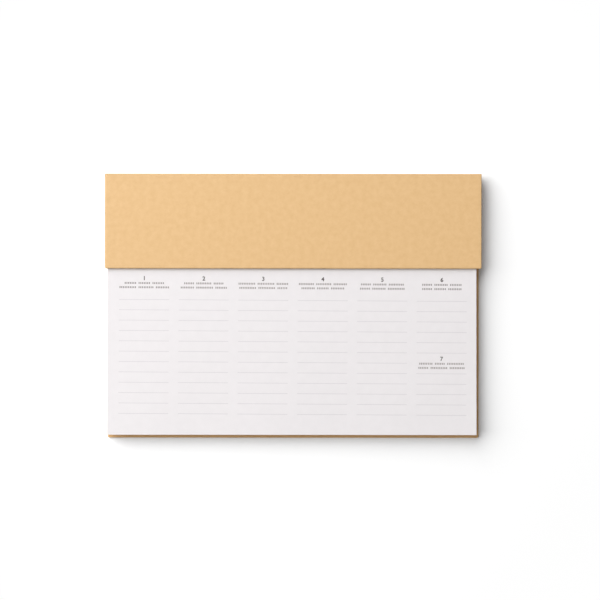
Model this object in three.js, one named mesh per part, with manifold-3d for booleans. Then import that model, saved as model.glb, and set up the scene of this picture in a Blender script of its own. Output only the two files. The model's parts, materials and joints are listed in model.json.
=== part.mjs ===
// Weekly planner: a tear-off pad of printed sheets in a case-made cover. The cover is a back
// panel, a spine and a short flap that folds over the pad's glued head. Each panel is a board
// wrapped in kraft paper, with the paper's edges turned in and a lining glued over them.
// Millimetres, +Z up. The planner lies closed on z = 0 with its spine at +Y, and its origin is
// under the middle of the cover.

import * as THREE from "three";
import { mergeVertices } from "three/addons/utils/BufferGeometryUtils.js";
import Module from "manifold-3d";

const wasm = await Module();
wasm.setup();

// Cover
const coverWidth = 297;
const coverDepth = 210;
const flapDepth = 75;
const boardThickness = 1.2;
const wrapThickness = 0.2;
const liningThickness = 0.15;
const turnInWidth = 15;
const liningMargin = 3;
const cornerRadius = 1.2;
const edgeRadius = 0.4;
const mitreSlit = 0.3;

// Creases between the panels: the outer radius of the folded paper, and the paper's free width
// from board to board
const creaseRadius = 1.5;
const creaseGap = 3.1;

// Pad: narrower than the cover by the margin at each side, and glued in a little left of its middle
const padMargin = 2.75;
const padOffset = -1;
const sheetWidth = coverWidth - 2 * padMargin;
const sheetDepth = 203.5;
const sheetThickness = 0.12;
const sheetCount = 52;
const looseSheetCount = 36;
const cardThickness = 0.6;
const headGlueThickness = 0.4;

// Top sheet: the bend line lies just ahead of the flap's edge, and the free corner curls up
const bendAhead = 0.5;
const bendSlit = 0.3;
const cornerLift = 1.2;
const cornerCurl = 45;

// Clearances
const glueLine = 0.02;
const sheetAir = 0.01;
const closedGap = 0.05;
const headClearance = 0.4;
const adhesiveInset = 2;
const paperSplit = 0.05;

// Facets, and how far a cutter reaches past the face that it cuts
const cornerFacets = 3;
const edgeFacets = 3;
const creaseFacets = 4;
const leafCells = { across: 24, along: 12 };
const cutOver = 1;

// Layers of a panel, counted from its outer face
const boardLevel = wrapThickness + glueLine;
const boardInnerLevel = boardLevel + boardThickness;
const turnInLevel = boardInnerLevel + glueLine;
const wrapLevel = turnInLevel + wrapThickness;
const liningLevel = wrapLevel + glueLine;
const panelThickness = liningLevel + liningThickness;

// Heights
const cardLevel = panelThickness + glueLine;
const sheetsLevel = cardLevel + cardThickness + sheetAir;
const sheetPitch = sheetThickness + sheetAir;
const padTop = sheetsLevel + sheetCount * sheetPitch - sheetAir;
const coverHeight = padTop + closedGap + panelThickness;

// Places along Y
const spineOuterY = coverDepth / 2;
const backFrontY = -coverDepth / 2;
const flapFrontY = spineOuterY - flapDepth;
const creaseY = spineOuterY - creaseRadius;
const panelEndY = creaseY - creaseGap / 2;
const headGlueY = spineOuterY - panelThickness - headClearance;
const padHeadY = headGlueY - headGlueThickness - glueLine;
const padFrontY = padHeadY - sheetDepth;
const bendY = flapFrontY - bendAhead;

// Heights of the spine's board
const spineBottom = creaseRadius + creaseGap / 2;
const spineTop = coverHeight - spineBottom;

const finish = (color, roughness) => new THREE.MeshStandardMaterial({ color, roughness, metalness: 0 });
const kraft = () => finish(0xebc28c, 0.6);
const greyboard = () => finish(0x9c9488, 0.95);
const paper = () => finish(0xf4f0f1, 0.7);
const backingCard = () => finish(0xb9ada0, 0.92);
const paddingGlue = () => finish(0xece8dd, 0.45);
const adhesiveFilm = () => finish(0xe3ddca, 0.4);

function part(name, geometry, material) {
  const mesh = new THREE.Mesh(geometry, material);
  mesh.name = name;
  return mesh;
}

// A closed three.js geometry as a solid that can be joined and cut.
function solidOf(geometry) {
  const bare = geometry.clone();
  bare.deleteAttribute("normal");
  bare.deleteAttribute("uv");
  const merged = mergeVertices(bare);
  return new wasm.Manifold(
    new wasm.Mesh({
      numProp: 3,
      vertProperties: merged.attributes.position.array,
      triVerts: Uint32Array.from(merged.index.array),
    }),
  );
}

function geometryOf(solid) {
  const mesh = solid.getMesh();
  const geometry = new THREE.BufferGeometry();
  geometry.setAttribute("position", new THREE.BufferAttribute(mesh.vertProperties, 3));
  geometry.setIndex(new THREE.BufferAttribute(mesh.triVerts, 1));
  const flat = geometry.toNonIndexed();
  flat.computeVertexNormals();
  return flat;
}

// A flat plate between two corners.
function plate([x0, y0, z0], [x1, y1, z1]) {
  const box = new THREE.BoxGeometry(x1 - x0, y1 - y0, z1 - z0);
  return box.translate((x0 + x1) / 2, (y0 + y1) / 2, (z0 + z1) / 2);
}

// A section drawn in Y and Z, swept along X and centred on it.
function sweptAcross(section, width, facets) {
  const strip = new THREE.ExtrudeGeometry(section, {
    depth: width,
    bevelEnabled: false,
    curveSegments: facets,
  });
  const turn = new THREE.Matrix4().makeBasis(
    new THREE.Vector3(0, 1, 0),
    new THREE.Vector3(0, 0, 1),
    new THREE.Vector3(1, 0, 0),
  );
  return strip.translate(0, 0, -width / 2).applyMatrix4(turn);
}

// A panel's outline: rounded corners at its front, square ones at its rear.
function panelOutline(halfWidth, front, rear, radius) {
  const outline = new THREE.Shape();
  outline.moveTo(-halfWidth, rear);
  outline.lineTo(-halfWidth, front + radius);
  outline.absarc(-halfWidth + radius, front + radius, radius, Math.PI, 1.5 * Math.PI);
  outline.absarc(halfWidth - radius, front + radius, radius, 1.5 * Math.PI, 2 * Math.PI);
  outline.lineTo(halfWidth, rear);
  outline.closePath();
  return outline;
}

// A slab of a panel's outline from z0 to z1. A bevel rounds its edges without making it larger.
function panelSlab(halfWidth, front, rear, radius, z0, z1, bevel = 0) {
  const outline = panelOutline(halfWidth - bevel, front + bevel, rear, radius - bevel);
  const slab = new THREE.ExtrudeGeometry(outline, {
    depth: z1 - z0 - 2 * bevel,
    bevelEnabled: bevel > 0,
    bevelThickness: bevel,
    bevelSize: bevel,
    bevelSegments: edgeFacets,
    curveSegments: cornerFacets,
  });
  return slab.translate(0, 0, z0 + bevel);
}

// The panels below are made in their own frame: x across, y from the free edge to the crease,
// z from the outer face inwards. A panel with creases at both edges has no front turn-in.

// The board of a panel, cut square at a crease.
function boardGeometry(length, hasFrontEdge) {
  const halfWidth = coverWidth / 2 - boardLevel;
  if (!hasFrontEdge) {
    return plate([-halfWidth, 0, boardLevel], [halfWidth, length, boardInnerLevel]);
  }
  const radius = cornerRadius - wrapThickness;
  return panelSlab(halfWidth, boardLevel, length, radius, boardLevel, boardInnerLevel);
}

// The kraft paper round a board: a bevelled slab hollowed to the board's size, open at the
// creases, with a window that leaves the turn-ins on its inner face. A slit along each front
// corner's mitre parts the front turn-in from the side ones.
function wrapGeometry(length, hasFrontEdge) {
  const halfWidth = coverWidth / 2;
  const rear = length + cutOver;
  const front = hasFrontEdge ? 0 : -cornerRadius - cutOver;
  const skin = hasFrontEdge ? wrapThickness : front - cutOver;
  const windowFront = hasFrontEdge ? turnInWidth : front - cutOver;
  let wrap = solidOf(panelSlab(halfWidth, front, rear, cornerRadius, 0, wrapLevel, edgeRadius));
  const cutters = [
    panelSlab(halfWidth - wrapThickness, skin, rear + cutOver, cornerRadius - wrapThickness,
      wrapThickness, turnInLevel),
    plate([turnInWidth - halfWidth, windowFront, turnInLevel - cutOver / 2],
      [halfWidth - turnInWidth, rear + cutOver, wrapLevel + cutOver]),
    plate([-halfWidth - cutOver, length, -cutOver],
      [halfWidth + cutOver, rear + cutOver, wrapLevel + cutOver]),
  ];
  if (hasFrontEdge) {
    cutters.push(mitreCutter(-1), mitreCutter(1));
  } else {
    cutters.push(plate([-halfWidth - cutOver, front - cutOver, -cutOver],
      [halfWidth + cutOver, 0, wrapLevel + cutOver]));
  }
  for (const cutter of cutters) wrap = wrap.subtract(solidOf(cutter));
  return geometryOf(wrap);
}

// The slit along the mitre of one front corner, side -1 or 1, through the turned-in paper.
function mitreCutter(side) {
  const start = cornerRadius + edgeRadius;
  const reach = (turnInWidth - start) * Math.SQRT2;
  const height = wrapThickness + cutOver;
  const middle = (start + turnInWidth) / 2;
  const slit = new THREE.BoxGeometry(reach, mitreSlit, height);
  slit.rotateZ((-side * Math.PI) / 4);
  return slit.translate(side * (coverWidth / 2 - middle), middle, turnInLevel + height / 2);
}

// The lining: glued over the turn-ins along its border and pressed down onto the board inside
// them.
function liningGeometry(length, hasFrontEdge) {
  const halfWidth = coverWidth / 2;
  const borderFront = hasFrontEdge ? liningMargin : 0;
  const panFront = hasFrontEdge ? turnInWidth + glueLine : 0;
  const pocketFront = hasFrontEdge ? panFront + liningThickness : -cutOver;
  const panHalf = halfWidth - turnInWidth - glueLine;
  const pocketHalf = panHalf - liningThickness;
  const border = plate([liningMargin - halfWidth, borderFront, liningLevel],
    [halfWidth - liningMargin, length, panelThickness]);
  const pan = plate([-panHalf, panFront, turnInLevel], [panHalf, length, panelThickness]);
  const pocket = plate([-pocketHalf, pocketFront, turnInLevel + liningThickness],
    [pocketHalf, length + cutOver, panelThickness + cutOver]);
  return geometryOf(solidOf(border).add(solidOf(pan)).subtract(solidOf(pocket)));
}

function panel(name, length, hasFrontEdge) {
  const group = new THREE.Group();
  group.add(part(name + "_board", boardGeometry(length, hasFrontEdge), greyboard()));
  group.add(part(name + "_wrap", wrapGeometry(length, hasFrontEdge), kraft()));
  group.add(part(name + "_lining", liningGeometry(length, hasFrontEdge), kraft()));
  return group;
}

// The kraft paper in a crease: a quarter round with a short straight arm on each side, swept
// across the cover. It is drawn about the fold's centre for the lower crease.
function creaseGeometry() {
  const inner = creaseRadius - wrapThickness;
  const arm = creaseGap / 2 - paperSplit;
  const section = new THREE.Shape();
  section.moveTo(-arm, -creaseRadius);
  section.lineTo(0, -creaseRadius);
  section.absarc(0, 0, creaseRadius, -Math.PI / 2, 0, false);
  section.lineTo(creaseRadius, arm);
  section.lineTo(inner, arm);
  section.absarc(0, 0, inner, 0, -Math.PI / 2, true);
  section.lineTo(-arm, -inner);
  section.closePath();
  return sweptAcross(section, coverWidth, creaseFacets);
}

// The lining in a crease, drawn like the paper that it is glued to: down one board's cut edge,
// along the crease and up over the other board's, so that it makes a groove.
function creaseLiningGeometry() {
  const outer = creaseRadius - wrapThickness - glueLine;
  const inner = outer - liningThickness;
  const legFace = creaseGap / 2 - glueLine;
  const legBack = legFace - liningThickness;
  const legTop = turnInLevel + liningThickness - creaseRadius;
  const section = new THREE.Shape();
  section.moveTo(-legFace, legTop);
  section.lineTo(-legFace, -outer);
  section.lineTo(0, -outer);
  section.absarc(0, 0, outer, -Math.PI / 2, 0, false);
  section.lineTo(outer, legFace);
  section.lineTo(-legTop, legFace);
  section.lineTo(-legTop, legBack);
  section.lineTo(inner, legBack);
  section.lineTo(inner, 0);
  section.absarc(0, 0, inner, 0, -Math.PI / 2, true);
  section.lineTo(-legBack, -inner);
  section.lineTo(-legBack, legTop);
  section.closePath();
  return sweptAcross(section, coverWidth - 2 * liningMargin, creaseFacets);
}

function crease(name) {
  const group = new THREE.Group();
  group.add(part(name, creaseGeometry(), kraft()));
  group.add(part(name + "_lining", creaseLiningGeometry(), kraft()));
  return group;
}

// The cover: three panels and the creases between them, closed round the pad.
function cover() {
  const group = new THREE.Group();

  const back = panel("back", panelEndY - backFrontY, true);
  back.position.set(0, backFrontY, 0);

  const spine = panel("spine", spineTop - spineBottom, false);
  spine.position.set(0, spineOuterY, spineBottom);
  spine.rotation.x = Math.PI / 2;

  const flap = panel("flap", panelEndY - flapFrontY, true);
  flap.position.set(0, flapFrontY, coverHeight);
  flap.rotation.y = Math.PI;

  const lowerCrease = crease("lower_crease");
  lowerCrease.position.set(0, creaseY, creaseRadius);

  const upperCrease = crease("upper_crease");
  upperCrease.position.set(0, creaseY, coverHeight - creaseRadius);
  upperCrease.rotation.x = Math.PI / 2;

  group.add(back, spine, flap, lowerCrease, upperCrease);
  return group;
}

// A sheet-sized plate from z0 to z1.
function padPlate(z0, z1, front = padFrontY, rear = padHeadY) {
  return plate([-sheetWidth / 2, front, z0], [sheetWidth / 2, rear, z1]);
}

// The free part of the top sheet: flat, with its right front corner rising by the square of the
// distance past the line where the curl starts.
function leafGeometry() {
  const rear = bendY - bendSlit / 2;
  const depth = rear - padFrontY;
  const leaf = new THREE.BoxGeometry(sheetWidth, depth, sheetThickness,
    leafCells.across, leafCells.along, 1);
  leaf.translate(0, padFrontY + depth / 2, padTop - sheetThickness / 2);
  const points = leaf.attributes.position;
  for (let i = 0; i < points.count; i++) {
    const fromCorner = (sheetWidth / 2 - points.getX(i) + points.getY(i) - padFrontY) / Math.SQRT2;
    const curl = Math.max(0, 1 - fromCorner / cornerCurl);
    points.setZ(i, points.getZ(i) + cornerLift * curl * curl);
  }
  return leaf;
}

// The padding compound brushed on the pad's head, with its long edges rounded.
function headGlueGeometry() {
  const inner = padHeadY + glueLine;
  const radius = headGlueThickness / 2;
  const section = new THREE.Shape();
  section.moveTo(inner, cardLevel);
  section.lineTo(headGlueY - radius, cardLevel);
  section.absarc(headGlueY - radius, cardLevel + radius, radius, -Math.PI / 2, 0, false);
  section.absarc(headGlueY - radius, padTop - radius, radius, 0, Math.PI / 2, false);
  section.lineTo(inner, padTop);
  section.closePath();
  return sweptAcross(section, sheetWidth, edgeFacets);
}

// The film that holds the pad's card in the shallow well of the back lining.
function adhesiveGeometry() {
  const inset = turnInWidth + glueLine + liningThickness + adhesiveInset;
  const halfWidth = coverWidth / 2 - inset;
  const low = turnInLevel + liningThickness + glueLine;
  return plate([-halfWidth, backFrontY + inset, low],
    [halfWidth, panelEndY - adhesiveInset, cardLevel - glueLine]);
}

// The pad: card, sheets from the bottom up, top sheet in two parts, and the glued head.
function pad() {
  const group = new THREE.Group();
  group.position.x = padOffset;
  group.add(part("pad_card", padPlate(cardLevel, cardLevel + cardThickness), backingCard()));

  const topLevel = padTop - sheetThickness;
  const looseLevel = topLevel - (looseSheetCount - 1) * sheetPitch;
  group.add(part("last_sheets", padPlate(sheetsLevel, looseLevel - sheetAir), paper()));
  for (let number = looseSheetCount; number >= 2; number--) {
    const level = topLevel - (number - 1) * sheetPitch;
    const name = "sheet_" + String(number).padStart(2, "0");
    group.add(part(name, padPlate(level, level + sheetThickness), paper()));
  }

  const head = padPlate(topLevel, padTop, bendY + bendSlit / 2);
  group.add(part("top_sheet_head", head, paper()));
  group.add(part("top_sheet_leaf", leafGeometry(), paper()));
  group.add(part("head_glue", headGlueGeometry(), paddingGlue()));
  return group;
}

const planner = new THREE.Group();
planner.add(cover(), pad(), part("pad_adhesive", adhesiveGeometry(), adhesiveFilm()));

export default planner;
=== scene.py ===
"""The looks of the weekly planner: its folded cover paper and lining, its sheets with their print,
and the plain studio that it lies in. Metres, +Z up, with the planner closed and its spine at +Y."""

import json
import math

import bmesh
import bpy
import numpy as np
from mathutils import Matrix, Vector


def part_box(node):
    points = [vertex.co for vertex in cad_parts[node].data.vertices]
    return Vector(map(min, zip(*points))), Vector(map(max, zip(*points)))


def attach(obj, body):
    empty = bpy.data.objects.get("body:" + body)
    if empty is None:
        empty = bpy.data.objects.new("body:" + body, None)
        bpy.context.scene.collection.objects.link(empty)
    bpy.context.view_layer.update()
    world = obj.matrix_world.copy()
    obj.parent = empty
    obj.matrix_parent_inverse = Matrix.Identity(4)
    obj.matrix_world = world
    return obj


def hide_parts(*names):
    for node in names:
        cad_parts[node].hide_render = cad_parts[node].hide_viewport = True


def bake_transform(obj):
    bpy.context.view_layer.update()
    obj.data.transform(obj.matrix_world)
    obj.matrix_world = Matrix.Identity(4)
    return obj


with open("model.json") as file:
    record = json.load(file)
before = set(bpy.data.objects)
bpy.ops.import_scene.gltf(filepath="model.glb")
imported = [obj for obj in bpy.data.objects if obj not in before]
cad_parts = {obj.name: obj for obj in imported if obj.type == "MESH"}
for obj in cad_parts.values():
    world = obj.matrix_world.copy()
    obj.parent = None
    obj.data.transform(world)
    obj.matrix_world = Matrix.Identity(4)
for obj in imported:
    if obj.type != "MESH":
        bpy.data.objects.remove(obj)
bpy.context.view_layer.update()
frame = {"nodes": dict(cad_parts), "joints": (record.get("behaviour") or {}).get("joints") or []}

bl_info = {
    "name": "Weekly planner",
    "version": (1, 0, 0),
    "blender": (4, 5, 0),
    "location": "3D Viewport > Sidebar > Planner",
    "description": "Builds a closed desk planner with a wrapped board cover and printed sheets",
    "category": "Add Mesh",
}

MM = 0.001
SENSOR_WIDTH = 36  # mm
CLIP_START = 0.01
FLOOR_REACH = 6.0  # metres from the middle to each edge

CORNER_STEPS = 6  # steps round a panel's corner in plan
EDGE_STEPS = 5  # steps round a board's edge
LINING_STEP = 0.8 * MM  # width in which the lining steps down inside the turn-ins
SHEET_CELLS = (117, 52, 10, 11)  # of the top sheet: across, and along its leaf, its bend and its head

# Waves of the top sheet: length as a share of the set one, slant, start and share of the height
WAVES = ((1.0, -0.35, 0.6, 0.36), (0.43, 0.8, 2.1, 0.14))
WAVE_MIDDLE = 0.5  # share of the height that the waves swing about
WAVE_GROWTH = 1.5  # power by which the waves grow towards the free edge
SPRING_GROWTH = 1.4  # power by which the whole sheet rises towards it

INK_THICKNESS = 0.004 * MM
INK_GAP = 0.001 * MM  # keeps the ink's faces off the paper's
FIGURE_SHARE = 0.73  # height of a figure as a share of the font's size
FIGURE_WEIGHT = 0.1 * MM  # added all round a figure's strokes
LINE_GROUPS = 3  # groups of marks in a small line

# Painted shade on the unfolded cover paper: where each kind is full and where it has faded out
EDGE_MIDDLE = 0.1 * MM  # from a panel's edge in to the middle of the round over it
EDGE_FADE = (0.3 * MM, 0.55 * MM)  # from that middle
FOLD_FADE = (0.8 * MM, 1.3 * MM)  # from the middle of a fold
TURNED_FADE = (1.9 * MM, 1.5 * MM)  # past a panel's edge

NOISE_SPREAD = {"From Min": 0.3, "From Max": 0.7}  # most values of a noise texture lie in it
# Fibres of the kraft paper in three directions: turn in radians, length and width in millimetres
KRAFT_FIBRES = ((0.1, 2.2, 0.16), (0.95, 1.6, 0.14), (-0.8, 1.8, 0.14))

# Sizes and places that come from the frame
back_low, back_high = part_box("back_wrap")
flap_low, flap_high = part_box("flap_wrap")
spine_low, spine_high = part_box("spine_wrap")
lining_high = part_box("back_lining")[1]
spine_lining_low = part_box("spine_lining")[0]
head_low, head_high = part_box("top_sheet_head")
leaf_low, leaf_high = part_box("top_sheet_leaf")
second_low, second_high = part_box("sheet_02")
third_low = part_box("sheet_03")[0]
last_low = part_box("last_sheets")[0]
bend_y = next(joint for joint in frame["joints"] if joint["name"] == "leaf_lift")["pos_m"][1]


def linear(hex_colour):
    """The linear red, green and blue of an sRGB hex colour."""
    values = [int(hex_colour[i : i + 2], 16) / 255 for i in (0, 2, 4)]
    return tuple(v / 12.92 if v <= 0.04045 else ((v + 0.055) / 1.055) ** 2.4 for v in values)


def colour(name, description, hex_colour):
    """A colour setting, from its sRGB hex value."""
    return bpy.props.FloatVectorProperty(
        name=name, description=description, default=linear(hex_colour), subtype="COLOR", min=0, max=1
    )


def length(name, description, millimetres):
    """A length setting, from its value in millimetres."""
    return bpy.props.FloatProperty(
        name=name, description=description, default=millimetres * MM, subtype="DISTANCE", precision=5
    )


def two_lengths(name, description, first, second):
    """A setting of two lengths, from their values in millimetres."""
    return bpy.props.FloatVectorProperty(
        name=name, description=description, default=(first * MM, second * MM), size=2, unit="LENGTH"
    )


def angle(name, description, degrees):
    """An angle setting, from its value in degrees."""
    return bpy.props.FloatProperty(
        name=name, description=description, default=math.radians(degrees), subtype="ANGLE"
    )


def amount(name, description, value, unit="NONE"):
    """A setting that is a plain number, or one in a unit of its own."""
    return bpy.props.FloatProperty(name=name, description=description, default=value, unit=unit, min=0)


def count(name, description, value):
    """A setting that is a whole number."""
    return bpy.props.IntProperty(name=name, description=description, default=value, min=1)


# Settings


class PLANNER_PG_cover(bpy.types.PropertyGroup):
    """The cover: kraft paper folded round three boards, and the lining inside it."""

    paper: length("Cover paper", "Thickness of the cover paper", 0.2)
    fold_radius: length("Fold radius", "Outer radius of the paper in a crease", 1.5)
    edge_radius: length("Edge radius", "Rounding of the paper over a board's edge", 0.45)
    corner_radius: length("Corner radius", "Rounding of a panel's corners in plan", 1.2)
    turn_in: length("Turn-in", "Width of the paper folded over the inner face", 15)
    mitre_gap: length("Mitre gap", "Gap between the turn-ins at a corner", 0.25)
    lining: length("Lining paper", "Thickness of the lining", 0.15)
    lining_margin: length("Lining margin", "Turn-in left bare at the edges", 3)
    glue_line: length("Glue line", "Glue between two papers", 0.02)
    groove_drop: length("Groove drop", "Width in which the paper drops off a board's edge", 0.5)
    kraft: colour("Kraft", "Cover paper", "EFC893")
    kraft_deep: colour("Deep kraft", "Denser patches and fibres of the cover paper", "E5BB85")
    # Painted shade: a darker tint round each edge and fold of the cover paper
    edge_tone: colour("Edge tone", "Tint where the cover paper goes round an edge or a fold", "E7E7E7")
    # Painted shade colour: a warmer tint on the turned-in paper, whose bare strips lie in the pad's shade
    turned_tone: colour("Turned-in tone", "Tint of the turned-in cover paper", "FFF5EE")
    lining_kraft: colour("Lining kraft", "Lining paper", "DDB280")
    greyboard: colour("Greyboard", "Cut edges of the boards", "9C9488")


class PLANNER_PG_sheets(bpy.types.PropertyGroup):
    """The pad: the top sheet's shape, the paper and what holds the sheets."""

    bend_zone: length("Bend zone", "Width of the top sheet that bends at the flap's edge", 4)
    spring: length("Spring", "Rise of the top sheet's free edge, which springs up a little", 0.8)
    corner_lift: length("Corner lift", "Rise of the free corner above the free edge", 0.35)
    corner_curl: length("Corner curl", "Distance from the corner at which the curl starts", 48)
    wave_height: length("Wave height", "Height of the waves at the free edge", 0.25)
    wave_length: length("Wave length", "Length of the waves along the free edge", 104)
    paper: colour("Writing paper", "Uncoated paper of the sheets", "F5F1F2")
    card: colour("Backing card", "Card under the sheets", "B9ADA0")
    glue: colour("Padding compound", "Dried compound on the pad's head", "ECE8DD")
    adhesive: colour("Adhesive", "Film under the pad", "E3DDCA")


class PLANNER_PG_print(bpy.types.PropertyGroup):
    """What is printed on a sheet: six ruled columns, of which the last is shared by two days."""

    columns: count("Columns", "Columns on a sheet", 6)
    rows: count("Rows", "Rules in a column", 12)
    column_pitch: length("Column pitch", "From one column's middle to the next", 47.04)
    print_offset: length("Print offset", "From the sheet's middle to the print's, to the right", 0.82)
    rule_length: length("Rule length", "Length of a rule", 39.5)
    rule_width: length("Rule width", "Width of a rule", 0.28)
    row_pitch: length("Row pitch", "From one rule to the next", 8.177)
    last_rule: length("Last rule", "From the sheet's front edge to the last rule", 16.16)
    number_rise: length("Number rise", "From the first rule up to a day number's middle", 16.7)
    number_height: length("Number height", "Height of the day numbers", 3.3)
    line_drops: two_lengths("Line drops", "From a number's middle down to the two small lines", 3.72, 7.05)
    mark_size: two_lengths("Mark", "Length and height of a mark in the small lines", 0.77, 1.45)
    mark_gap: length("Mark gap", "Gap between two marks", 0.59)
    group_gap: length("Group gap", "Gap between two groups of marks", 2.05)
    group_size: bpy.props.IntVectorProperty(
        name="Group size", description="Fewest and most marks in a group", default=(6, 10), size=2, min=1
    )
    group_seed: count("Group seed", "Start of the random sizes of the groups", 3901)
    shared_rows: count("Shared rows", "Rules above the last column's second day", 6)
    second_rise: length("Second rise", "From the rule left out up to the second day's number", 3.453)
    turn: angle("Turn", "Turn of the print on the sheet", -0.3)
    ink: colour("Ink", "Numbers", "4C4240")
    mark_ink: colour("Mark ink", "Small lines, in a middle tint", "958B89")
    rule_ink: colour("Rule ink", "Rules, in a light tint", "D5D0D3")


class PLANNER_PG_stage(bpy.types.PropertyGroup):
    """The floor, the light and the camera."""

    camera_place: bpy.props.FloatVectorProperty(
        name="Camera", description="Place of the camera", default=(0.0054, 0.0053, 0.5822), unit="LENGTH"
    )
    camera_turn: angle("Camera turn", "Turn about the line of sight", 0.06)
    focal_length: amount("Focal length", "Lens on a 36 mm sensor", 43.5, unit="CAMERA")
    softbox_distance: length("Softbox distance", "From the planner to the light", 2800)
    softbox_elevation: angle("Softbox elevation", "Above the table", 34)
    softbox_side: angle("Softbox side", "Turn from the left towards the spine", 35)
    softbox_size: two_lengths("Softbox size", "Width and height of the light", 4400, 3000)
    softbox_power: amount("Softbox power", "Power of the light", 177, unit="POWER")
    fill: amount("Fill", "Strength of the room's light", 0.15)
    floor: colour("Floor", "White studio floor", "D2D2D2")
    floor_boost: amount("Floor white", "Brightness of the floor as the camera sees it", 1.84)
    clear_from: length("Shadow to", "From the middle to where the floor starts to turn plain white", 195)
    clear_at: length("White from", "From the middle to where the floor is plain white", 340)


# Meshes


def smoothstep(low, high, value):
    """0 below low, 1 above high, and 3s^2 - 2s^3 of the share s between them."""
    share = np.clip((value - low) / (high - low), 0, 1)
    return share * share * (3 - 2 * share)


def grid_faces(rows, columns, start=0):
    """The quads of a grid of points stored row by row, each going along a row and then up a column."""
    corner = start + np.arange(rows - 1)[:, None] * columns + np.arange(columns - 1)[None, :]
    return np.stack([corner, corner + 1, corner + columns + 1, corner + columns], axis=-1).reshape(-1, 4)


def mesh_piece(name, points, faces, flat_places=None):
    """An object whose mesh has these points and faces. Its UV map holds the flat places, in metres:
    where each point lies when the paper is unfolded."""
    mesh = bpy.data.meshes.new(name)
    mesh.from_pydata(points.tolist(), [], faces.tolist())
    if flat_places is not None:
        corners = np.empty(len(mesh.loops), dtype=np.int32)
        mesh.loops.foreach_get("vertex_index", corners)
        layer = mesh.uv_layers.new(name="unfolded")
        layer.uv.foreach_set("vector", flat_places[corners].astype(np.float32).ravel())
    piece = bpy.data.objects.new(name, mesh)
    bpy.context.scene.collection.objects.link(piece)
    return piece


def merge_points(piece, distance=0.5e-6):
    """Merges points that coincide, so that collapsed faces go."""
    work = bmesh.new()
    work.from_mesh(piece.data)
    bmesh.ops.remove_doubles(work, verts=work.verts, dist=distance)
    bmesh.ops.dissolve_degenerate(work, edges=work.edges, dist=distance)
    work.to_mesh(piece.data)
    work.free()


def thicken(piece, thickness, offset=-1, even=True):
    """Gives a sheet its thickness, behind its faces for offset -1 and before them for 1."""
    solidify = piece.modifiers.new("thickness", "SOLIDIFY")
    solidify.thickness = thickness
    solidify.offset = offset
    solidify.use_even_offset = even
    graph = bpy.context.evaluated_depsgraph_get()
    solid = bpy.data.meshes.new_from_object(piece.evaluated_get(graph))
    piece.modifiers.clear()
    piece.data = solid


def shade(piece, sharp_angle=32):
    """Smooth shading, with sharp edges where the faces turn by more than the angle."""
    piece.data.shade_smooth()
    piece.data.set_sharp_from_angle(angle=math.radians(sharp_angle))


# Shape of the cover


class CoverSection:
    """Half of the closed cover's outer line in Y and Z, from a panel's free edge to the middle of the
    spine, measured along the paper: a straight run, a quarter round and a straight rise."""

    def __init__(self, free_edge, radius):
        self.free_edge = free_edge
        self.radius = radius
        self.fold_y = spine_high.y - radius
        self.run = self.fold_y - free_edge
        self.arc = radius * math.pi / 2
        self.end = self.run + self.arc + (spine_low.z + spine_high.z) / 2 - radius
        self.board_end = back_high.y - free_edge
        self.spine_start = self.run + self.arc + spine_low.z - radius

    def at(self, along, height):
        """Y and Z of a point at this distance along the paper, raised from it to the inside."""
        turn = np.clip((along - self.run) / self.radius, 0, math.pi / 2)
        y = self.free_edge + np.minimum(along, self.run) + (self.radius - height) * np.sin(turn)
        rise = np.maximum(along - self.run - self.arc, 0)
        z = self.radius - (self.radius - height) * np.cos(turn) + rise
        return y, z

    def ease(self, along, over_board, in_groove, drop):
        """The height over a board, eased to the height in the groove between two boards."""
        fall = smoothstep(self.board_end, self.board_end + drop, along)
        rise = smoothstep(self.spine_start - drop, self.spine_start, along)
        return over_board - (over_board - in_groove) * (fall - rise)

    def stations(self, first, turn_in, drop):
        """Distances along the paper, dense at the two boards' edges and round the fold."""
        coarse = 7 * MM
        fine = drop / 8
        near_board = self.board_end - 2 * drop
        return np.unique(
            np.concatenate([
                np.linspace(first, turn_in, 5),
                np.linspace(turn_in, near_board, int((self.board_end - turn_in) / coarse)),
                np.arange(near_board, self.board_end + 1.5 * drop, fine),
                np.linspace(self.run, self.run + self.arc, 13),
                np.arange(self.spine_start - 1.5 * drop, self.spine_start + drop, fine),
                [self.end],
            ]).round(7)
        )


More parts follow.
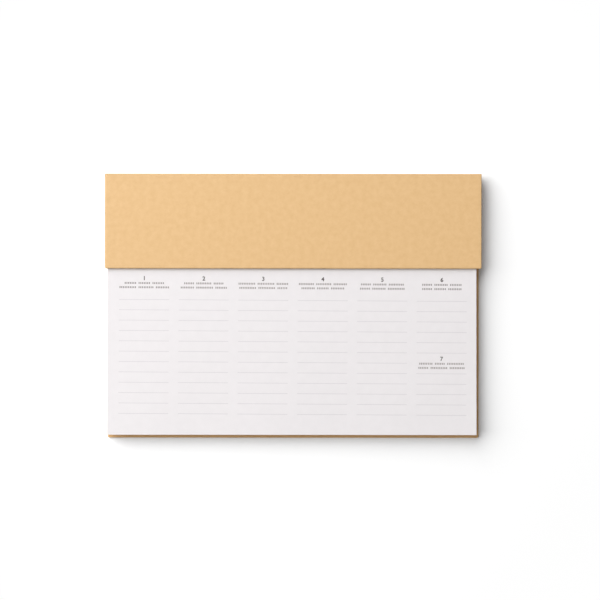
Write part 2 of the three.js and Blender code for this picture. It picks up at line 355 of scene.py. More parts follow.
def paper_border(section, cover, along, across, start, panel):
    """The border of the cover paper, a profile carried round a panel's two sides and front edge. The
    profile runs from the outer face over the board's edge to the end of the turn-in. In plan each
    row is the panel's outline drawn in by its inset: straight sides, and corners that are rounds
    while the inset is less than their radius, and mitres past it."""
    half = back_high.x
    corner = cover.corner_radius
    turn_in = cover.turn_in

    angles = np.linspace(0, math.pi / 2, CORNER_STEPS + 1)
    side_count, front_count = len(along), len(across)
    count = 2 * side_count + 2 * len(angles) + front_count
    left = slice(0, side_count)
    left_corner = slice(side_count, side_count + len(angles))
    front = slice(left_corner.stop, left_corner.stop + front_count)
    right_corner = slice(front.stop, front.stop + len(angles))
    right = slice(right_corner.stop, count)

    groove = 2 * cover.paper + cover.glue_line
    over = np.full(count, panel)
    over[left] = section.ease(along[::-1], panel, groove, cover.groove_drop)
    over[right] = section.ease(along, panel, groove, cover.groove_drop)
    edge = np.minimum(cover.edge_radius, over / 2)

    # The profile: flat, round, upright, round, and flat again on the turn-in
    turns = np.linspace(0, math.pi / 2, EDGE_STEPS + 1)[:, None]
    inner = np.array([corner, 2 * MM, 3 * MM, start, 6 * MM, 9 * MM, 12 * MM, turn_in])[:, None]
    ones = np.ones(count)
    inset = np.concatenate([
        [start * ones, 2 * MM * ones],
        edge * (1 - np.sin(turns)),
        [0 * ones],
        edge * (1 - np.cos(turns)),
        inner * ones,
    ])
    height = np.concatenate([
        [0 * ones, 0 * ones],
        edge * (1 - np.cos(turns)),
        [over / 2],
        over - edge * (1 - np.sin(turns)),
        np.ones_like(inner) * over,
    ])

    on_turn_in = np.arange(len(inset))[:, None] >= len(inset) - len(inner)
    seam = cover.mitre_gap * on_turn_in * smoothstep(corner / 2, 2 * corner, inset)

    def past_corner(place, inset_here, seam_here):
        """How far along its side a point lies. From the corner to the turn-in's width it follows the
        mitre, and keeps off it by the seam."""
        share = (place - start) / (turn_in - start)
        on_mitre = (inset_here > start) & (place < turn_in)
        followed = np.where(on_mitre, inset_here + share * (turn_in - inset_here), place)
        return followed + seam_here * np.clip(1 - share, 0, 1)

    x = np.empty_like(inset)
    t = np.empty_like(inset)
    for side, sign, places in ((left, -1, along[::-1]), (right, 1, along)):
        x[:, side] = sign * (half - inset[:, side])
        t[:, side] = past_corner(places, inset[:, side], seam[:, side])
    from_side = past_corner(half - np.abs(across), inset[:, front], seam[:, front])
    x[:, front] = np.sign(across) * (half - from_side)
    t[:, front] = inset[:, front]
    for rounded, sign, phi in ((left_corner, -1, angles), (right_corner, 1, angles[::-1])):
        centre = np.maximum(corner, inset[:, rounded])
        reach = np.maximum(corner - inset[:, rounded], 0)
        gap = seam[:, rounded]
        x[:, rounded] = sign * (half - centre + reach * np.cos(phi) - gap * (phi == phi.max()))
        t[:, rounded] = centre - reach * np.sin(phi) + gap * (phi == 0)

    # On the unfolded sheet the profile runs straight out from the outer face
    steps = np.hypot(np.diff(inset, axis=0), np.diff(height, axis=0))
    run = np.concatenate([[0 * ones], np.cumsum(steps, axis=0)])
    outward = np.zeros((2, count))
    outward[0, left], outward[0, right] = -1, 1
    outward[1, front] = -1
    outward[:, left_corner] = [-np.cos(angles), -np.sin(angles)]
    outward[:, right_corner] = [np.sin(angles), -np.cos(angles)]
    flat = np.stack([x[0] + run * outward[0], t[0] + run * outward[1]], axis=-1)

    # The turn-ins meet at the mitres, so the corners have no faces of their own there
    faces = grid_faces(*inset.shape).reshape(len(inset) - 1, count - 1, 4)
    keep = np.ones(faces.shape[:2], dtype=bool)
    mitred = slice(len(inset) - len(inner), None)
    keep[mitred, left_corner.start : left_corner.stop - 1] = False
    keep[mitred, right_corner.start : right_corner.stop - 1] = False

    y, z = section.at(t, height)
    return np.stack([x, y, z], axis=-1).reshape(-1, 3), flat.reshape(-1, 2), faces[keep]


def paper_face(section, along, across, start_index):
    """The outer face inside the border: a plain grid that bends with the section."""
    t, x = np.meshgrid(along, across, indexing="ij")
    y, z = section.at(t, np.zeros_like(t))
    points = np.stack([x, y, z], axis=-1).reshape(-1, 3)
    flat = np.stack([x, t], axis=-1).reshape(-1, 2)
    return points, flat, grid_faces(*t.shape, start_index)[:, ::-1]


def both_sides(half_way):
    """Places from one side to the middle, and the same again to the other side."""
    return np.concatenate([-half_way, half_way[::-1][1:]])


def cover_half(name, points, faces, flat, is_flap):
    """Half of a sheet of the cover. The flap's half is the back's, turned about the closed cover's
    long middle line."""
    if is_flap:
        points = points * [-1, 1, -1] + [0, 0, flap_high.z]
        flat = -flat
    return mesh_piece(name, points, faces, flat)


def cover_paper(name, free_edge, is_flap):
    """Half of the cover's one sheet of kraft paper: a panel, a crease and half of the spine."""
    cover = bpy.context.scene.planner_cover
    section = CoverSection(free_edge, cover.fold_radius)
    start = 4 * MM  # how far the border comes in over the outer face
    along = section.stations(start, cover.turn_in, cover.groove_drop)
    past_turn_in = back_high.x - cover.turn_in
    across = both_sides(np.concatenate([
        np.linspace(back_high.x - start, past_turn_in, 5),
        np.linspace(past_turn_in, 0, 20)[1:],
    ]))
    points, flat, faces = paper_border(section, cover, along, across, start, back_high.z)
    face_points, face_flat, face_faces = paper_face(section, along, across, len(points))
    points = np.concatenate([points, face_points])
    flat = np.concatenate([flat, face_flat]) - [0, section.end]
    piece = cover_half(name, points, np.concatenate([faces, face_faces]), flat, is_flap)
    merge_points(piece)
    thicken(piece, cover.paper)
    shade(piece)
    return piece


def cover_lining(name, free_edge, is_flap):
    """Half of the cover's one sheet of lining: glued over the turn-ins, with a soft step down to the
    board inside them, and pressed into the groove at the crease."""
    cover = bpy.context.scene.planner_cover
    section = CoverSection(free_edge, cover.fold_radius)
    half = back_high.x
    along = section.stations(cover.lining_margin, cover.turn_in + LINING_STEP, cover.groove_drop)
    past_turn_in = half - cover.turn_in
    across = both_sides(np.concatenate([
        [half - cover.lining_margin],
        np.linspace(past_turn_in, past_turn_in - LINING_STEP, 7),
        np.linspace(past_turn_in - LINING_STEP, 0, 20)[1:],
    ]))
    t, x = np.meshgrid(along, across, indexing="ij")
    inset = np.minimum(half - np.abs(x), t)
    doubled = 1 - smoothstep(cover.turn_in, cover.turn_in + LINING_STEP, inset)
    one_paper = cover.paper + cover.glue_line
    over = back_high.z - one_paper + doubled * one_paper
    groove = cover.paper + doubled * one_paper
    height = section.ease(t, over, groove, cover.groove_drop) + cover.glue_line
    y, z = section.at(t, height)
    points = np.stack([x, y, z], axis=-1).reshape(-1, 3)
    flat = np.stack([x, t - section.end], axis=-1).reshape(-1, 2)
    piece = cover_half(name, points, grid_faces(*t.shape), flat, is_flap)
    thicken(piece, cover.lining, offset=1)
    shade(piece)
    return piece


def blend_over_crease(piece, is_flap):
    """Bakes the piece's place into its mesh. The points that it works out on the panel and the spine are
    not used.
    """
    on_panel = Vector((0, back_high.y, lining_high.z))
    on_spine = Vector((0, spine_lining_low.y, spine_low.z))
    if is_flap:
        on_panel.z, on_spine.z = (flap_high.z - place.z for place in (on_panel, on_spine))
        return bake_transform(piece)
    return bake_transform(piece)


# Shape of the sheets and of their print


def leaf_rise(x, y):
    """How far the top sheet rises from the pad: nothing under the flap, then a slope and waves that
    both grow towards the free edge, and a corner that curls up by the square of the distance past
    the curl's start."""
    sheets = bpy.context.scene.planner_sheets
    ahead = np.clip((bend_y - y) / (bend_y - leaf_low.y), 0, 1)
    swing = WAVE_MIDDLE + sum(
        height * np.sin(2 * math.pi * (x + slant * y) / (share * sheets.wave_length) + start)
        for share, slant, start, height in WAVES
    )
    waves = sheets.wave_height * ahead**WAVE_GROWTH * swing
    from_corner = (leaf_high.x - x + y - leaf_low.y) / math.sqrt(2)
    curl = np.clip(1 - from_corner / sheets.corner_curl, 0, 1)
    return sheets.spring * ahead**SPRING_GROWTH + waves + sheets.corner_lift * curl**2


def top_sheet():
    """The top sheet, whole: a grid over the pad, dense where it bends at the flap's edge."""
    bend_end = bend_y - bpy.context.scene.planner_sheets.bend_zone
    columns, leaf_rows, bend_rows, head_rows = SHEET_CELLS
    across = np.linspace(leaf_low.x, leaf_high.x, columns + 1)
    along = np.concatenate([
        np.linspace(leaf_low.y, bend_end, leaf_rows + 1)[:-1],
        np.linspace(bend_end, bend_y, bend_rows + 1),
        np.linspace(bend_y, head_high.y, head_rows + 1)[1:],
    ])
    y, x = np.meshgrid(along, across, indexing="ij")
    points = np.stack([x, y, head_low.z + leaf_rise(x, y)], axis=-1).reshape(-1, 3)
    piece = mesh_piece("top_sheet", points, grid_faces(*x.shape), points[:, :2])
    thicken(piece, head_high.z - head_low.z, offset=1)
    shade(piece)
    return piece


def on_top_sheet(x, y):
    """The height at which ink lies on the top sheet."""
    return head_high.z + leaf_rise(x, y) + INK_GAP


def on_second_sheet(x, y):
    """The height at which ink lies on the sheet below it."""
    return np.full(np.shape(x), second_high.z + INK_GAP)


def print_places(x, y):
    """Places on a sheet of print that is laid out square and then turned a little on the paper."""
    turn = bpy.context.scene.planner_print.turn
    middle_x, middle_y = (leaf_low.x + leaf_high.x) / 2, (leaf_low.y + head_high.y) / 2
    dx, dy = x - middle_x, y - middle_y
    return (
        middle_x + dx * math.cos(turn) - dy * math.sin(turn),
        middle_y + dx * math.sin(turn) + dy * math.cos(turn),
    )


def printed_bars(name, middles, lengths, width, segments, height_at):
    """Bars of ink along X that follow the sheet, each a strip of quads between two edges."""
    share = np.linspace(-0.5, 0.5, segments + 1)
    x = middles[:, 0, None, None] + lengths[:, None, None] * share[None, None, :]
    y = middles[:, 1, None, None] + width * np.array([-0.5, 0.5])[None, :, None]
    x, y = print_places(*np.broadcast_arrays(x, y))
    points = np.stack([x, y, height_at(x, y)], axis=-1).reshape(-1, 3)
    one = grid_faces(2, segments + 1)
    faces = (one[None] + np.arange(len(middles))[:, None, None] * 2 * (segments + 1)).reshape(-1, 4)
    piece = mesh_piece(name, points, faces)
    thicken(piece, INK_THICKNESS, offset=1, even=False)
    return piece


def column_middles():
    """X of each column's middle, in even steps about the print's middle."""
    settings = bpy.context.scene.planner_print
    middle = (leaf_low.x + leaf_high.x) / 2 + settings.print_offset
    return middle + (np.arange(settings.columns) - (settings.columns - 1) / 2) * settings.column_pitch


def rule_heights():
    """Y of each rule, from a column's head down, in even steps that end at the last rule."""
    settings = bpy.context.scene.planner_print
    return leaf_low.y + settings.last_rule + np.arange(settings.rows)[::-1] * settings.row_pitch


def day_places():
    """The middle of each day's number: one over the first rule of each column, and one more in the
    last column, over the rule that it leaves out."""
    settings = bpy.context.scene.planner_print
    columns, rules = column_middles(), rule_heights()
    heads = np.column_stack([columns, np.full(len(columns), rules[0] + settings.number_rise)])
    return np.vstack([heads, [columns[-1], rules[settings.shared_rows] + settings.second_rise]])


def printed_rules(name, height_at):
    """The rules of all columns. The last column leaves one out for its second day."""
    settings = bpy.context.scene.planner_print
    x, y = np.meshgrid(column_middles(), rule_heights(), indexing="ij")
    shown = np.ones_like(x, dtype=bool)
    shown[-1, settings.shared_rows] = False
    middles = np.column_stack([x[shown], y[shown]])
    lengths = np.full(len(middles), settings.rule_length)
    return printed_bars(name, middles, lengths, settings.rule_width, 12, height_at)


def printed_marks(name, height_at):
    """Small lines of short marks under each number, in groups of different lengths with wider gaps
    between them."""
    settings = bpy.context.scene.planner_print
    mark_length, mark_height = settings.mark_size
    fewest, most = settings.group_size
    days = day_places()
    sizes = (len(days), len(settings.line_drops), LINE_GROUPS)
    counts = np.random.default_rng(settings.group_seed).integers(fewest, most + 1, size=sizes)
    pitch = mark_length + settings.mark_gap
    middles = []
    for (x, y), lines in zip(days, counts):
        for drop, groups in zip(settings.line_drops, lines):
            group = np.repeat(np.arange(LINE_GROUPS), groups)
            places = np.arange(len(group)) * pitch + group * (settings.group_gap - settings.mark_gap)
            places = x + places - places[-1] / 2
            middles.append(np.column_stack([places, np.full_like(places, y - drop)]))
    middles = np.vstack(middles)
    return printed_bars(name, middles, np.full(len(middles), mark_length), mark_height, 1, height_at)


def joined(name, pieces):
    """One object holding all the pieces' faces."""
    with bpy.context.temp_override(active_object=pieces[0], selected_editable_objects=pieces):
        bpy.ops.object.join()
    pieces[0].name = name
    pieces[0].data.name = name
    return pieces[0]


def printed_numbers(name, height_at):
    """The numbers of the days, in plain upright figures."""
    settings = bpy.context.scene.planner_print
    pieces = []
    for number, (x, y) in enumerate(day_places(), start=1):
        curve = bpy.data.curves.new("number", "FONT")
        curve.body = str(number)
        curve.align_x = "CENTER"
        curve.align_y = "CENTER"
        curve.size = settings.number_height / FIGURE_SHARE
        curve.offset = FIGURE_WEIGHT
        curve.resolution_u = 6
        figure = bpy.data.objects.new("number", curve)
        bpy.context.scene.collection.objects.link(figure)
        graph = bpy.context.evaluated_depsgraph_get()
        mesh = bpy.data.meshes.new_from_object(figure.evaluated_get(graph))
        bpy.data.objects.remove(figure)
        points = np.empty(len(mesh.vertices) * 3)
        mesh.vertices.foreach_get("co", points)
        flat_x, flat_y, _ = points.reshape(-1, 3).T
        printed_x, printed_y = print_places(flat_x + x, flat_y + y)
        points = np.stack([printed_x, printed_y, height_at(printed_x, printed_y)], axis=-1)
        mesh.vertices.foreach_set("co", points.ravel())
        piece = bpy.data.objects.new("number", mesh)
        bpy.context.scene.collection.objects.link(piece)
        merge_points(piece)
        thicken(piece, INK_THICKNESS, offset=1, even=False)
        pieces.append(piece)
    return joined(name, pieces)


# Materials


def node(tree, kind, inputs=None, **settings):
    """Adds a node. Inputs are its sockets by name or number, each a value or another node's output."""
    made = tree.nodes.new(kind)
    for key, value in settings.items():
        setattr(made, key, value)
    for key, value in (inputs or {}).items():
        if isinstance(value, bpy.types.NodeSocket):
            tree.links.new(value, made.inputs[key])
        else:
            made.inputs[key].default_value = value
    return made


def new_material(name, coordinates="Object"):
    """A material, its empty tree, and the coordinates that its patterns read."""
    material = bpy.data.materials.new(name)
    material.use_nodes = True
    tree = material.node_tree
    tree.nodes.clear()
    return material, tree, node(tree, "ShaderNodeTexCoord").outputs[coordinates]


def opaque(values):
    """A colour of three values with an alpha of 1."""
    return (*values, 1)


def finish_material(tree, base, roughness, height, depth, specular):
    """Ends a tree in a rough dielectric with a bump of this depth in metres."""
    bump = node(tree, "ShaderNodeBump", {"Strength": 1.0, "Distance": depth, "Height": height})
    shader = node(tree, "ShaderNodeBsdfPrincipled", {
        "Base Color": base,
        "Roughness": roughness,
        "IOR": 1.5,
        "Specular IOR Level": specular,
        "Normal": bump.outputs["Normal"],
    })
    node(tree, "ShaderNodeOutputMaterial", {"Surface": shader.outputs["BSDF"]})


def toned(tree, tint, pattern, low, high, spread=NOISE_SPREAD):
    """A colour times a tone, which goes from low to high as the pattern goes over the spread."""
    tone = node(tree, "ShaderNodeMapRange", {"Value": pattern, **spread, "To Min": low, "To Max": high})
    return node(tree, "ShaderNodeMix", {
        0: 1.0, 6: tint, 7: tone.outputs["Result"],
    }, data_type="RGBA", blend_type="MULTIPLY").outputs[2]


def fold_tones(tree, place, base):
    """Tints the cover paper by its place on the unfolded sheet, with painted shade: a little darker round
    each edge and fold, and a warmer shade colour where it is turned in."""
    cover = bpy.context.scene.planner_cover
    back = CoverSection(back_low.y, cover.fold_radius)
    flap = CoverSection(flap_low.y, cover.fold_radius)
    middle = (0, (flap.end - back.end) / 2, 0)
    half_size = (back_high.x, (flap.end + back.end) / 2, 0)
    fold_middle = back.end - back.run - back.arc / 2

    # Past the edge: the greater of |x| and |y| from the sheet's middle, each less the half size
    centred = node(tree, "ShaderNodeVectorMath", {0: place, 1: middle}, operation="SUBTRACT")
    distance = node(tree, "ShaderNodeVectorMath", {0: centred.outputs[0]}, operation="ABSOLUTE")
    beyond = node(tree, "ShaderNodeVectorMath", {
        0: distance.outputs[0], 1: half_size,
    }, operation="SUBTRACT")
    sides = node(tree, "ShaderNodeSeparateXYZ", {"Vector": beyond.outputs[0]})
    past = node(tree, "ShaderNodeMath", {
        0: sides.outputs["X"], 1: sides.outputs["Y"],
    }, operation="MAXIMUM")
    moved = node(tree, "ShaderNodeMath", {0: past.outputs[0], 1: EDGE_MIDDLE}, operation="ADD")
    from_round = node(tree, "ShaderNodeMath", {0: moved.outputs[0]}, operation="ABSOLUTE")

    parts = node(tree, "ShaderNodeSeparateXYZ", {"Vector": place})
    from_spine = node(tree, "ShaderNodeMath", {0: parts.outputs["Y"]}, operation="ABSOLUTE")
    moved = node(tree, "ShaderNodeMath", {0: from_spine.outputs[0], 1: fold_middle}, operation="SUBTRACT")
    from_fold = node(tree, "ShaderNodeMath", {0: moved.outputs[0]}, operation="ABSOLUTE")

    amounts = []
    for value, (full, none) in ((from_round, EDGE_FADE), (from_fold, FOLD_FADE), (past, TURNED_FADE)):
        amounts.append(node(tree, "ShaderNodeMapRange", {
            "Value": value.outputs[0], "From Min": full, "From Max": none, "To Min": 1.0, "To Max": 0.0,
        }).outputs["Result"])
    at_round, at_fold, turned = amounts
    painted_shade_mask = node(tree, "ShaderNodeMath", {0: at_round, 1: at_fold}, operation="MAXIMUM").outputs[0]
    # Painted shade round edges and folds, and a painted warmer shade colour on the turn-ins
    for amount, tint in ((painted_shade_mask, cover.edge_tone), (turned, cover.turned_tone)):
        base = node(tree, "ShaderNodeMix", {
            0: amount, 6: base, 7: opaque(tint),
        }, data_type="RGBA", blend_type="MULTIPLY").outputs[2]
    return base


def kraft_material(name, light, deep, is_cover):
    """Unbleached kraft paper, made on a machine that lays most fibres one way. The eye gets soft
    clouds a few millimetres wide, a fine felt of pale and brown fibres, and no gloss."""
    material, tree, place = new_material(name, "UV")
    clouds = node(tree, "ShaderNodeTexNoise", {
        "Vector": place, "Scale": 1 / (4.5 * MM), "Detail": 3.0, "Roughness": 0.55,
    })
    # Real fibres are 1 to 3 mm long and 0.03 mm wide. They are drawn 0.15 mm wide, so that they show
    felt = 0.0
    for turn, long, wide in KRAFT_FIBRES:
        turned = node(tree, "ShaderNodeMapping", {
            "Vector": place,
            "Rotation": (0, 0, turn),
            "Scale": (1 / (long * MM), 1 / (wide * MM), 1 / (wide * MM)),
        })
        fibre = node(tree, "ShaderNodeTexNoise", {
            "Vector": turned.outputs["Vector"], "Scale": 1.0, "Detail": 1.5, "Distortion": 0.35,
        })
        felt = node(tree, "ShaderNodeMath", {0: felt, 1: fibre.outputs["Fac"]}, operation="ADD").outputs[0]
    layers = float(len(KRAFT_FIBRES))
    mean = node(tree, "ShaderNodeMath", {0: felt, 1: layers}, operation="DIVIDE").outputs[0]
    fibre_tone = node(tree, "ShaderNodeMapRange", {"Value": mean, "From Min": 0.38, "From Max": 0.62})
    cloud_tone = node(tree, "ShaderNodeMapRange", {"Value": clouds.outputs["Fac"], **NOISE_SPREAD})
    tone = node(tree, "ShaderNodeMix", {
        0: 0.42, 2: cloud_tone.outputs["Result"], 3: fibre_tone.outputs["Result"],
    }, data_type="FLOAT")
    body = node(tree, "ShaderNodeMix", {
        0: tone.outputs[0], 6: opaque(deep), 7: opaque(light),
    }, data_type="RGBA")

    # Darker shives up to 0.5 mm wide, in about a quarter of the cells of a 2.6 mm pattern
    shives = node(tree, "ShaderNodeTexVoronoi", {"Vector": place, "Scale": 1 / (2.6 * MM)})
    speck = node(tree, "ShaderNodeMapRange", {
        "Value": shives.outputs["Distance"],
        "From Min": 0.03,
        "From Max": 0.09,
        "To Min": 0.3,
        "To Max": 0.0,
    })
    cell = node(tree, "ShaderNodeSeparateColor", {"Color": shives.outputs["Color"]})
    chosen = node(tree, "ShaderNodeMath", {0: cell.outputs[0], 1: 0.72}, operation="GREATER_THAN")
    amount = node(tree, "ShaderNodeMath", {
        0: speck.outputs["Result"], 1: chosen.outputs[0],
    }, operation="MULTIPLY")
    base = node(tree, "ShaderNodeMix", {
        0: amount.outputs[0], 6: body.outputs[2], 7: opaque([v * 0.55 for v in deep]),
    }, data_type="RGBA").outputs[2]
    # The cover gets painted shade round its edges and folds and a warmer shade colour on its turn-ins
    if is_cover:
        base = fold_tones(tree, place, base)
    roughness = node(tree, "ShaderNodeMapRange", {
        "Value": mean, **NOISE_SPREAD, "To Min": 0.66, "To Max": 0.58,
    })
    finish_material(tree, base, roughness.outputs["Result"], mean, depth=0.03 * MM, specular=0.28)
    return material


def writing_paper_material(name, tint, on_uv):
    """Uncoated wood-free writing paper, 100 g. The eye gets an even, faintly cloudy white with a soft
    tooth and hardly any sheen. Steep faces get painted shade, down to 0.7 of the colour by their slope
    from level, which also darkens a lifted sheet where it faces the softbox."""
    material, tree, place = new_material(name, "UV" if on_uv else "Object")
    clouds = node(tree, "ShaderNodeTexNoise", {
        "Vector": place, "Scale": 1 / (7 * MM), "Detail": 4.0, "Roughness": 0.6,
    })
    # The real tooth is under 0.1 mm wide. It is drawn 0.22 mm wide, so that it shows
    tooth = node(tree, "ShaderNodeTexNoise", {
        "Vector": place, "Scale": 1 / (0.22 * MM), "Detail": 2.0,
    }).outputs["Fac"]
    normal = node(tree, "ShaderNodeNewGeometry").outputs["True Normal"]
    slope = node(tree, "ShaderNodeSeparateXYZ", {"Vector": normal})
    level = node(tree, "ShaderNodeMath", {0: slope.outputs["Z"]}, operation="ABSOLUTE")
    cloudy = toned(tree, opaque(tint), clouds.outputs["Fac"], 0.975, 1.0)
    # Painted shade by slope: upright faces, such as cut edges and a lifted sheet, are darker
    base = toned(tree, cloudy, level.outputs[0], 0.7, 1.0)
    roughness = node(tree, "ShaderNodeMapRange", {
        "Value": tooth, **NOISE_SPREAD, "To Min": 0.84, "To Max": 0.78,
    })
    finish_material(tree, base, roughness.outputs["Result"], tooth, depth=0.006 * MM, specular=0.2)
    return material


def paper_stack_material(name, tint, pitch):
    """The same paper as a cut block. The eye gets one fine line for each sheet."""
    material, tree, place = new_material(name)
    parts = node(tree, "ShaderNodeSeparateXYZ", {"Vector": place})
    height = node(tree, "ShaderNodeMath", {0: parts.outputs["Z"], 1: last_low.z}, operation="SUBTRACT")
    counted = node(tree, "ShaderNodeMath", {0: height.outputs[0], 1: pitch}, operation="DIVIDE")
    share = node(tree, "ShaderNodeMath", {0: counted.outputs[0]}, operation="FRACT")
    line = node(tree, "ShaderNodeMapRange", {
        "Value": share.outputs[0], "From Min": 0.86, "From Max": 0.93, "To Min": 1.0, "To Max": 0.35,
    })
    uneven = node(tree, "ShaderNodeTexNoise", {"Vector": place, "Scale": 1 / (3 * MM), "Detail": 3.0})
    tone = node(tree, "ShaderNodeMapRange", {
        "Value": uneven.outputs["Fac"], **NOISE_SPREAD, "To Min": 0.93, "To Max": 1.0,
    })
    both = node(tree, "ShaderNodeMath", {
        0: line.outputs["Result"], 1: tone.outputs["Result"],
    }, operation="MULTIPLY").outputs[0]
    base = node(tree, "ShaderNodeMix", {
        0: 1.0, 6: opaque(tint), 7: both,
    }, data_type="RGBA", blend_type="MULTIPLY")
    finish_material(tree, base.outputs[2], 0.92, both, depth=0.02 * MM, specular=0.2)
    return material


def board_material(name, tint, grain, depth):
    """Pressed board of recycled fibre. The eye gets a dull grey with mixed flecks and a rough cut.
    Its grain's width and depth are given in millimetres."""
    material, tree, place = new_material(name)
    coarse = node(tree, "ShaderNodeTexNoise", {
        "Vector": place, "Scale": 1 / (grain * MM), "Detail": 5.0, "Roughness": 0.65,
    }).outputs["Fac"]
    flecks = node(tree, "ShaderNodeTexVoronoi", {"Vector": place, "Scale": 1 / (1.1 * grain * MM)})
    base = toned(tree, opaque(tint), coarse, 0.8, 1.1, spread={"From Min": 0.25, "From Max": 0.75})
    mixed = node(tree, "ShaderNodeMix", {
        0: 0.12, 6: base, 7: flecks.outputs["Color"],
    }, data_type="RGBA", blend_type="SOFT_LIGHT")
    finish_material(tree, mixed.outputs[2], 0.94, coarse, depth=depth * MM, specular=0.2)
    return material


def compound_material(name, tint, roughness, ripple):
    """Dried emulsion, brushed or rolled on. The eye gets a soft satin skin with low ripples, whose
    width is given in millimetres."""
    material, tree, place = new_material(name)
    ripples = node(tree, "ShaderNodeTexNoise", {
        "Vector": place, "Scale": 1 / (ripple * MM), "Detail": 2.0,
    }).outputs["Fac"]
    base = toned(tree, opaque(tint), ripples, 0.93, 1.0)
    satin = node(tree, "ShaderNodeMapRange", {
        "Value": ripples, **NOISE_SPREAD, "To Min": roughness, "To Max": roughness + 0.1,
    })
    finish_material(tree, base, satin.outputs["Result"], ripples, depth=0.05 * MM, specular=0.5)
    return material


def ink_material(name, tint):
    """Offset ink soaked into uncoated paper. The eye gets a flat tone, a little broken by the tooth."""
    material, tree, place = new_material(name)
    # Drawn as coarse as the paper's tooth
    tooth = node(tree, "ShaderNodeTexNoise", {
        "Vector": place, "Scale": 1 / (0.25 * MM), "Detail": 2.0,
    }).outputs["Fac"]
    base = toned(tree, opaque(tint), tooth, 0.92, 1.12)
    finish_material(tree, base, 0.85, tooth, depth=0.002 * MM, specular=0.25)
    return material


def looked_at(tree):
    """1 for rays of the camera and of mirrors and glass, 0 for those that only carry light."""
    path = node(tree, "ShaderNodeLightPath")
    direct = node(tree, "ShaderNodeMath", {
        0: path.outputs["Is Camera Ray"], 1: path.outputs["Is Glossy Ray"],
    }, operation="MAXIMUM")
    return node(tree, "ShaderNodeMath", {
        0: direct.outputs[0], 1: path.outputs["Is Transmission Ray"],
    }, operation="MAXIMUM").outputs[0]


def floor_material(name, tint, boost, clear_from, clear_at):
    """Matt white studio floor. Near the planner the eye gets its shadow, and past that a plain white
    that has no horizon."""
    material, tree, place = new_material(name)
    looks = looked_at(tree)
    albedo = node(tree, "ShaderNodeMix", {
        0: looks, 6: opaque(tint), 7: opaque([v * boost for v in tint]),
    }, data_type="RGBA")
    matt = node(tree, "ShaderNodeBsdfDiffuse", {"Color": albedo.outputs[2]})
    white = node(tree, "ShaderNodeEmission", {"Color": (1, 1, 1, 1), "Strength": 1.0})
    distance = node(tree, "ShaderNodeVectorMath", {0: place}, operation="LENGTH")
    far = node(tree, "ShaderNodeMapRange", {
        "Value": distance.outputs["Value"], "From Min": clear_from, "From Max": clear_at,
    }, interpolation_type="SMOOTHSTEP")
    share = node(tree, "ShaderNodeMath", {0: far.outputs["Result"], 1: looks}, operation="MULTIPLY")
    surface = node(tree, "ShaderNodeMixShader", {
        0: share.outputs[0], 1: matt.outputs["BSDF"], 2: white.outputs["Emission"],
    })
    node(tree, "ShaderNodeOutputMaterial", {"Surface": surface.outputs["Shader"]})
    return material


def set_material(piece, material):
    """Makes this the piece's only material."""
    piece.data.materials.clear()
    piece.data.materials.append(material)


# Operators


class PLANNER_OT_camera(bpy.types.Operator):
    """Sets the camera straight above the closed planner"""

    bl_idname = "planner.camera"
    bl_label = "Camera"

    def execute(self, context):
        stage = context.scene.planner_stage
        data = bpy.data.cameras.new("camera")
        data.lens = stage.focal_length
        data.sensor_width = SENSOR_WIDTH
        data.clip_start = CLIP_START
        camera = bpy.data.objects.new("camera", data)
        camera.location = stage.camera_place
        camera.rotation_euler = (0, 0, stage.camera_turn)
        context.scene.collection.objects.link(camera)
        context.scene.camera = camera
        return {"FINISHED"}


class PLANNER_OT_cover_paper(bpy.types.Operator):
    """Folds the kraft paper round the boards, in two halves that meet on the spine"""

    bl_idname = "planner.cover_paper"
    bl_label = "Cover paper"

    def execute(self, context):
        cover = context.scene.planner_cover
        kraft = kraft_material("unbleached_kraft_paper", cover.kraft, cover.kraft_deep, is_cover=True)
        back = cover_paper("cover_paper_back", back_low.y, is_flap=False)
        flap = cover_paper("cover_paper_flap", flap_low.y, is_flap=True)
        for piece in (back, flap):
            set_material(piece, kraft)
        blend_over_crease(back, is_flap=False)
        blend_over_crease(flap, is_flap=True)
        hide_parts("back_wrap", "lower_crease", "spine_wrap")
        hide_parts("flap_wrap", "upper_crease")
        return {"FINISHED"}


class PLANNER_OT_lining(bpy.types.Operator):
    """Glues the lining over the turn-ins, in two halves that meet on the spine"""

    bl_idname = "planner.lining"
    bl_label = "Lining"

    def execute(self, context):
        cover = context.scene.planner_cover
        deep = [v * 0.86 for v in cover.lining_kraft]
        kraft = kraft_material("kraft_lining_paper", cover.lining_kraft, deep, is_cover=False)
        back = cover_lining("cover_lining_back", back_low.y, is_flap=False)
        flap = cover_lining("cover_lining_flap", flap_low.y, is_flap=True)
        for piece in (back, flap):
            set_material(piece, kraft)
        blend_over_crease(back, is_flap=False)
        blend_over_crease(flap, is_flap=True)
        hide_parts("back_lining", "lower_crease_lining", "spine_lining")
        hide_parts("flap_lining", "upper_crease_lining")
        return {"FINISHED"}


class PLANNER_OT_boards(bpy.types.Operator):
    """Finishes the three boards inside the cover"""

    bl_idname = "planner.boards"
    bl_label = "Boards"

    def execute(self, context):
        tint = context.scene.planner_cover.greyboard
        grey = board_material("recycled_greyboard", tint, grain=0.9, depth=0.08)
        for name in ("back_board", "spine_board", "flap_board"):
            set_material(frame["nodes"][name], grey)
        return {"FINISHED"}


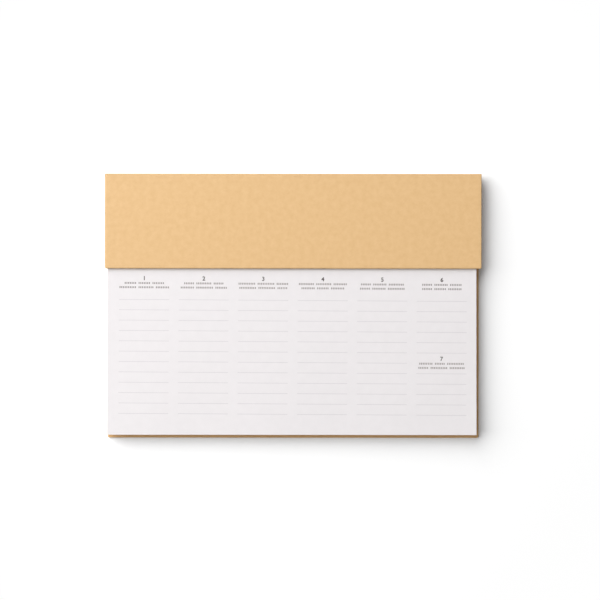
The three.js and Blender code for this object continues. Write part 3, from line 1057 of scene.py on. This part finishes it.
class PLANNER_OT_pad(bpy.types.Operator):
    """Finishes the pad's card, its sheets below the top one, its glued head and the adhesive"""

    bl_idname = "planner.pad"
    bl_label = "Pad"

    def execute(self, context):
        sheets = context.scene.planner_sheets
        card = board_material("grey_backing_card", sheets.card, grain=0.5, depth=0.03)
        glue = compound_material("dried_padding_compound", sheets.glue, roughness=0.42, ripple=1.6)
        film = compound_material("acrylic_adhesive_film", sheets.adhesive, roughness=0.3, ripple=2.5)
        pitch = second_low.z - third_low.z
        stack = paper_stack_material("cut_stack_of_writing_paper", sheets.paper, pitch)
        paper = writing_paper_material("writing_paper_under_sheets", sheets.paper, on_uv=False)

        nodes = frame["nodes"]
        set_material(nodes["pad_card"], card)
        set_material(nodes["head_glue"], glue)
        set_material(nodes["pad_adhesive"], film)
        set_material(nodes["last_sheets"], stack)
        for name, piece in nodes.items():
            if name.startswith("sheet_"):
                set_material(piece, paper)
        return {"FINISHED"}


class PLANNER_OT_top_sheet(bpy.types.Operator):
    """Lays the top sheet on the pad, a little wavy and with its free corner curled"""

    bl_idname = "planner.top_sheet"
    bl_label = "Top sheet"

    def execute(self, context):
        sheets = context.scene.planner_sheets
        piece = top_sheet()
        set_material(piece, writing_paper_material("writing_paper", sheets.paper, on_uv=True))
        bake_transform(piece)
        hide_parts("top_sheet_head", "top_sheet_leaf")
        return {"FINISHED"}


class PLANNER_OT_print(bpy.types.Operator):
    """Prints numbers, small lines and rules on the top sheet and on the one below it"""

    bl_idname = "planner.print"
    bl_label = "Print"

    def execute(self, context):
        settings = context.scene.planner_print
        prints = (
            ("numbers", printed_numbers, ink_material("dark_offset_ink", settings.ink)),
            ("marks", printed_marks, ink_material("grey_offset_ink", settings.mark_ink)),
            ("rules", printed_rules, ink_material("light_offset_ink", settings.rule_ink)),
        )
        places = (("top_sheet", "leaf", on_top_sheet), ("second_sheet", "back_cover", on_second_sheet))
        for sheet, body, height_at in places:
            for kind, printed, ink in prints:
                piece = printed(f"{sheet}_{kind}", height_at)
                set_material(piece, ink)
                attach(piece, body)
        return {"FINISHED"}


class PLANNER_OT_stage(bpy.types.Operator):
    """Lays the white floor and hangs one large softbox over the planner's left side"""

    bl_idname = "planner.stage"
    bl_label = "Stage"

    def execute(self, context):
        scene = context.scene
        stage = scene.planner_stage
        scene.view_settings.view_transform = "Standard"

        corners = FLOOR_REACH * np.array([(-1, -1, 0), (1, -1, 0), (1, 1, 0), (-1, 1, 0)])
        floor = mesh_piece("floor", corners, np.array([(0, 1, 2, 3)]))
        set_material(floor, floor_material(
            "matt_white_studio_floor", stage.floor, stage.floor_boost, stage.clear_from, stage.clear_at
        ))

        lamp = bpy.data.lights.new("softbox", "AREA")
        lamp.shape = "RECTANGLE"
        lamp.size, lamp.size_y = stage.softbox_size
        lamp.energy = stage.softbox_power
        softbox = bpy.data.objects.new("softbox", lamp)
        level = math.cos(stage.softbox_elevation)
        towards = Vector((
            -level * math.cos(stage.softbox_side),
            level * math.sin(stage.softbox_side),
            math.sin(stage.softbox_elevation),
        ))
        softbox.location = towards * stage.softbox_distance
        softbox.rotation_euler = towards.to_track_quat("Z", "Y").to_euler()
        softbox.visible_camera = False
        scene.collection.objects.link(softbox)

        world = bpy.data.worlds.new("white_room")
        world.use_nodes = True
        tree = world.node_tree
        tree.nodes.clear()
        seen = node(tree, "ShaderNodeMix", {
            0: looked_at(tree), 6: opaque([stage.fill] * 3), 7: (1, 1, 1, 1),
        }, data_type="RGBA")
        background = node(tree, "ShaderNodeBackground", {"Color": seen.outputs[2], "Strength": 1.0})
        node(tree, "ShaderNodeOutputWorld", {"Surface": background.outputs["Background"]})
        scene.world = world
        return {"FINISHED"}


class PLANNER_PT_parts(bpy.types.Panel):
    """Lists the planner's pieces and their settings"""

    bl_label = "Weekly planner"
    bl_idname = "PLANNER_PT_parts"
    bl_space_type = "VIEW_3D"
    bl_region_type = "UI"
    bl_category = "Planner"

    def draw(self, context):
        for operator in OPERATORS:
            self.layout.operator(operator.bl_idname)
        for name, group in GROUPS.items():
            box = self.layout.box()
            box.label(text=group.__doc__.split(":")[0])
            for key in group.__annotations__:
                box.prop(getattr(context.scene, name), key)


GROUPS = {
    "planner_cover": PLANNER_PG_cover,
    "planner_sheets": PLANNER_PG_sheets,
    "planner_print": PLANNER_PG_print,
    "planner_stage": PLANNER_PG_stage,
}
OPERATORS = (
    PLANNER_OT_camera,
    PLANNER_OT_cover_paper,
    PLANNER_OT_lining,
    PLANNER_OT_boards,
    PLANNER_OT_pad,
    PLANNER_OT_top_sheet,
    PLANNER_OT_print,
    PLANNER_OT_stage,
)


def register():
    for kind in (*GROUPS.values(), *OPERATORS, PLANNER_PT_parts):
        bpy.utils.register_class(kind)
    for name, group in GROUPS.items():
        setattr(bpy.types.Scene, name, bpy.props.PointerProperty(type=group))


def unregister():
    for name in GROUPS:
        delattr(bpy.types.Scene, name)
    for kind in reversed((*GROUPS.values(), *OPERATORS, PLANNER_PT_parts)):
        bpy.utils.unregister_class(kind)


def main():
    register()
    bpy.ops.planner.camera()
    bpy.ops.planner.cover_paper()
    bpy.ops.planner.lining()
    bpy.ops.planner.boards()
    bpy.ops.planner.pad()
    bpy.ops.planner.top_sheet()
    bpy.ops.planner.print()
    bpy.ops.planner.stage()


if __name__ == "__main__":
    main()
